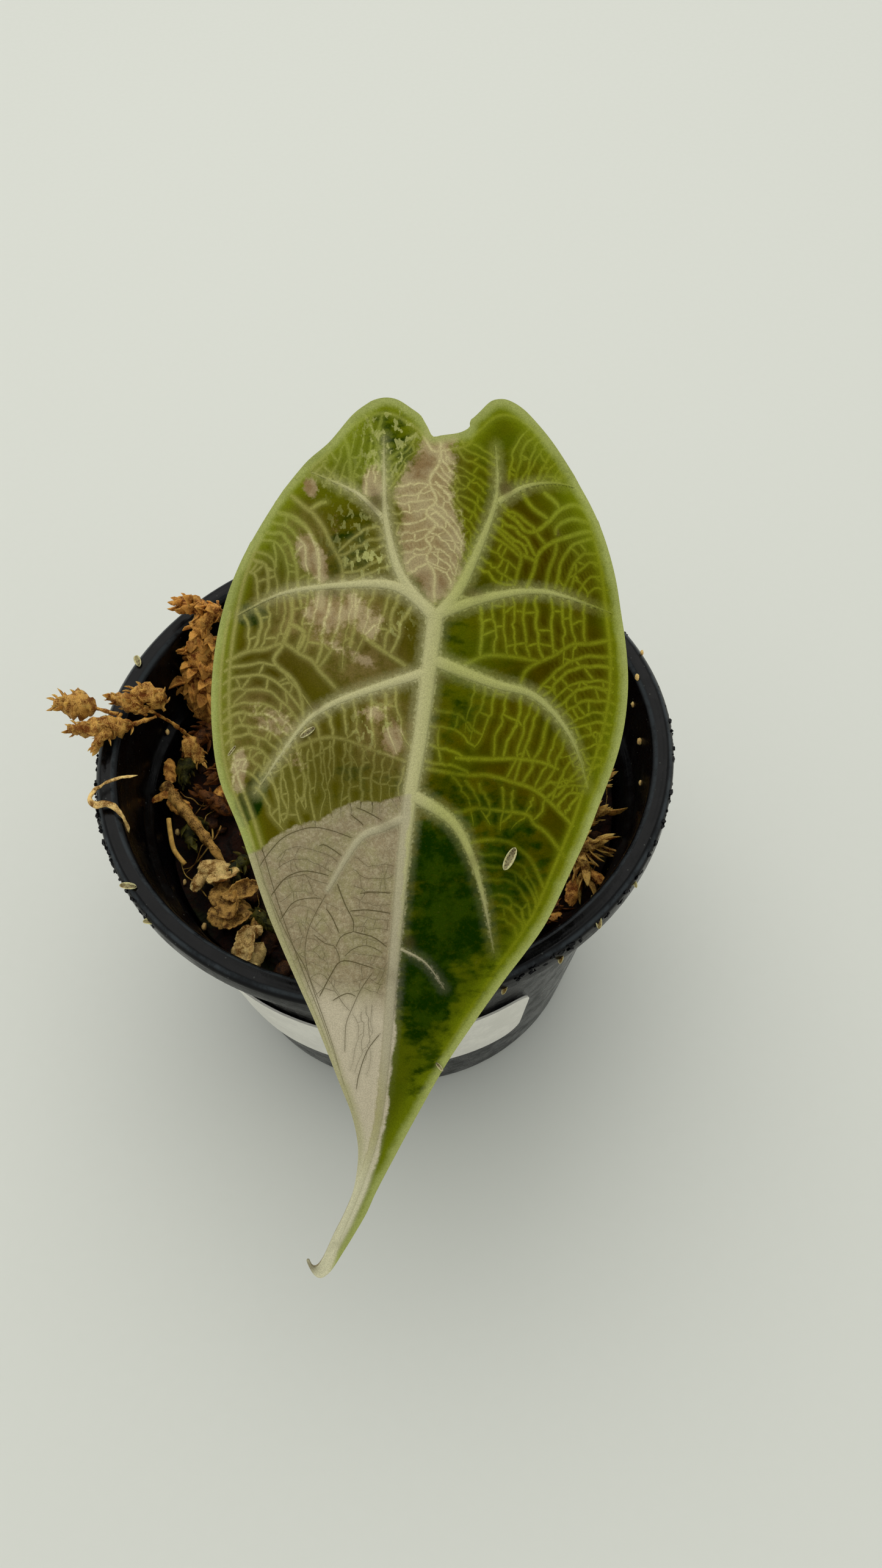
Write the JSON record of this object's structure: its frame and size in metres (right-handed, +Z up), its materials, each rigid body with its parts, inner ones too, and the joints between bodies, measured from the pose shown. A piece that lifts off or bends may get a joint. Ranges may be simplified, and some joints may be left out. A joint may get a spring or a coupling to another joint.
{
  "type": "potted variegated alocasia watsoniana",
  "caption": "Young aroid with an arrow-shaped variegated leaf on a stalk, standing in moss in a round nursery pot; rests on its base.",
  "frame": {"origin": "centre of the pot's base, on the surface that it stands on", "axes": "+Z up along the pot's axis, -Y towards the leaf's tail and the label, +X to the right seen from there"},
  "size_m": [0.0827, 0.0993, 0.097],
  "materials": {
    "pot_plastic": "thin black polypropylene, satin",
    "label_paper": "bare white sticker, matte",
    "potting_mix": "dark damp moss and bark",
    "tuber": "brown tuber with pale roots",
    "sheath": "dry papery sheath",
    "stalk": "smooth pale green stalk",
    "leaf": "velvety leaf, olive and green with a cream and pink sector, pale veins",
    "moss_orange": "dry sphagnum, orange brown",
    "moss_brown": "damp sphagnum, brown",
    "bark_pale": "dry husk and bark, pale tan"
  },
  "bodies": {
    "root": {"pot": "pot_plastic", "label": "label_paper", "substrate": "potting_mix", "corm": "tuber", "cataphyll": "sheath", "petiole": "stalk", "leaf_blade": "leaf", "moss_sprig_rim": "moss_orange", "moss_spray_back_left": "moss_orange", "moss_spray_left": "moss_brown", "moss_clump_right": "moss_brown", "moss_clump_front": "moss_brown", "moss_clump_back": "moss_brown", "husk_strand": "bark_pale", "dry_root_rim": "bark_pale", "bark_flake": "bark_pale", "bark_clump": "bark_pale", "dry_bud": "bark_pale"}
  },
  "joints": []
}
